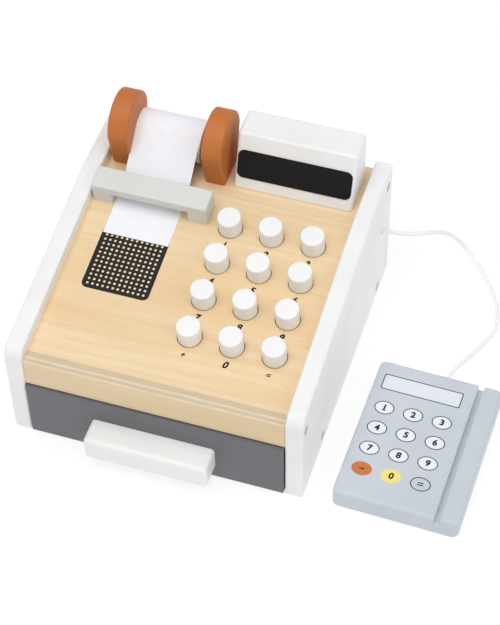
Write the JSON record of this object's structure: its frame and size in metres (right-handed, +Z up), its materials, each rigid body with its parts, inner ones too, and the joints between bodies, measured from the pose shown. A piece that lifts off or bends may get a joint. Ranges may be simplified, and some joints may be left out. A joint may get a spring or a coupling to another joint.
{
  "type": "toy cash register",
  "caption": "Wooden toy cash register with sprung dowel keys, a sliding cash drawer, a paper roll with a tear strip and a card reader on a cord.",
  "frame": {"origin": "centre of the register case's footprint, on the table top", "axes": "+X to the register's right as its user sees it, +Y to its back, +Z up"},
  "size_m": [0.3057, 0.2488, 0.1434],
  "materials": {
    "birch": "clear matt lacquer on birch-faced plywood",
    "ply_edge": "bare plywood",
    "white_paint": "satin white paint on wood",
    "grey_paint": "satin mid grey paint on wood",
    "light_grey_paint": "satin light grey paint on wood",
    "orange_paint": "satin burnt orange paint on wood",
    "blue_grey_paint": "satin pale blue grey paint on wood",
    "black_film": "smooth black",
    "paper": "plain uncoated paper",
    "card_core": "brown card",
    "beech": "bare turned beech",
    "steel": "zinc plated",
    "white_cord": "braided cotton"
  },
  "bodies": {
    "case": {"left_side_panel": "white_paint", "right_side_panel": "white_paint", "front_rail": "birch", "top_slope_panel": "birch", "top_level_panel": "birch", "back_panel": "ply_edge", "case_floor": "ply_edge", "key_carrier_board": "ply_edge", "drawer_runner_left": "ply_edge", "drawer_runner_right": "ply_edge", "case_screws": "steel", "display_block": "white_paint", "display_screen": "black_film", "roll_holder_left": "orange_paint", "roll_holder_right": "orange_paint", "roll_axle": "beech", "paper_guide": "light_grey_paint", "paper_lead": "paper", "cord_knot": "white_cord", "reader_cord": "white_cord", "key_spring_plus": "steel", "key_spring_0": "steel", "key_spring_equals": "steel", "key_spring_7": "steel", "key_spring_8": "steel", "key_spring_9": "steel", "key_spring_4": "steel", "key_spring_5": "steel", "key_spring_6": "steel", "key_spring_1": "steel", "key_spring_2": "steel", "key_spring_3": "steel"},
    "drawer": {"drawer_front": "grey_paint", "drawer_side_left": "birch", "drawer_side_right": "birch", "drawer_back": "ply_edge", "drawer_bottom": "ply_edge", "drawer_cross_divider": "birch", "drawer_long_divider": "birch", "drawer_handle": "white_paint"},
    "key_plus": {"key_plus": "white_paint"},
    "key_0": {"key_0": "white_paint"},
    "key_equals": {"key_equals": "white_paint"},
    "key_7": {"key_7": "white_paint"},
    "key_8": {"key_8": "white_paint"},
    "key_9": {"key_9": "white_paint"},
    "key_4": {"key_4": "white_paint"},
    "key_5": {"key_5": "white_paint"},
    "key_6": {"key_6": "white_paint"},
    "key_1": {"key_1": "white_paint"},
    "key_2": {"key_2": "white_paint"},
    "key_3": {"key_3": "white_paint"},
    "roll": {"roll_core": "card_core", "paper_roll": "paper"},
    "paper": {"paper_tail": "paper"},
    "reader": {"card_reader": "blue_grey_paint"}
  },
  "joints": [
    {"name": "drawer_slide", "type": "slide", "parent": "case", "child": "drawer", "axis": [0, -1, 0], "range_m": [0, 0.12]},
    {"name": "key_plus_press", "type": "slide", "parent": "case", "child": "key_plus", "axis": [0, 0.1573, -0.9876], "range_m": [0, 0.005], "stiffness_N_per_m": 220, "springref_m": -0.0022, "deforming": ["key_spring_plus"]},
    {"name": "key_0_press", "type": "slide", "parent": "case", "child": "key_0", "axis": [0, 0.1573, -0.9876], "range_m": [0, 0.005], "stiffness_N_per_m": 220, "springref_m": -0.0022, "deforming": ["key_spring_0"]},
    {"name": "key_equals_press", "type": "slide", "parent": "case", "child": "key_equals", "axis": [0, 0.1573, -0.9876], "range_m": [0, 0.005], "stiffness_N_per_m": 220, "springref_m": -0.0022, "deforming": ["key_spring_equals"]},
    {"name": "key_7_press", "type": "slide", "parent": "case", "child": "key_7", "axis": [0, 0.1573, -0.9876], "range_m": [0, 0.005], "stiffness_N_per_m": 220, "springref_m": -0.0022, "deforming": ["key_spring_7"]},
    {"name": "key_8_press", "type": "slide", "parent": "case", "child": "key_8", "axis": [0, 0.1573, -0.9876], "range_m": [0, 0.005], "stiffness_N_per_m": 220, "springref_m": -0.0022, "deforming": ["key_spring_8"]},
    {"name": "key_9_press", "type": "slide", "parent": "case", "child": "key_9", "axis": [0, 0.1573, -0.9876], "range_m": [0, 0.005], "stiffness_N_per_m": 220, "springref_m": -0.0022, "deforming": ["key_spring_9"]},
    {"name": "key_4_press", "type": "slide", "parent": "case", "child": "key_4", "axis": [0, 0.1573, -0.9876], "range_m": [0, 0.005], "stiffness_N_per_m": 220, "springref_m": -0.0022, "deforming": ["key_spring_4"]},
    {"name": "key_5_press", "type": "slide", "parent": "case", "child": "key_5", "axis": [0, 0.1573, -0.9876], "range_m": [0, 0.005], "stiffness_N_per_m": 220, "springref_m": -0.0022, "deforming": ["key_spring_5"]},
    {"name": "key_6_press", "type": "slide", "parent": "case", "child": "key_6", "axis": [0, 0.1573, -0.9876], "range_m": [0, 0.005], "stiffness_N_per_m": 220, "springref_m": -0.0022, "deforming": ["key_spring_6"]},
    {"name": "key_1_press", "type": "slide", "parent": "case", "child": "key_1", "axis": [0, 0.1573, -0.9876], "range_m": [0, 0.005], "stiffness_N_per_m": 220, "springref_m": -0.0022, "deforming": ["key_spring_1"]},
    {"name": "key_2_press", "type": "slide", "parent": "case", "child": "key_2", "axis": [0, 0.1573, -0.9876], "range_m": [0, 0.005], "stiffness_N_per_m": 220, "springref_m": -0.0022, "deforming": ["key_spring_2"]},
    {"name": "key_3_press", "type": "slide", "parent": "case", "child": "key_3", "axis": [0, 0.1573, -0.9876], "range_m": [0, 0.005], "stiffness_N_per_m": 220, "springref_m": -0.0022, "deforming": ["key_spring_3"]},
    {"name": "roll_spin", "type": "hinge", "parent": "case", "child": "roll", "pos_m": [-0.0471, 0.0803, 0.11], "axis": [1, 0, 0], "range_deg": [0, 160]},
    {"name": "paper_feed", "type": "slide", "parent": "case", "child": "paper", "axis": [0, -0.9876, -0.1573], "range_m": [0, 0.042]},
    {"name": "reader_lift", "type": "slide", "parent": "case", "child": "reader", "axis": [0, 0, 1], "range_m": [0, 0.06], "deforming": ["reader_cord"]}
  ],
  "couplings": [
    {"joint": "paper_feed", "follows": "roll_spin", "m_per_rad": 0.0147}
  ]
}
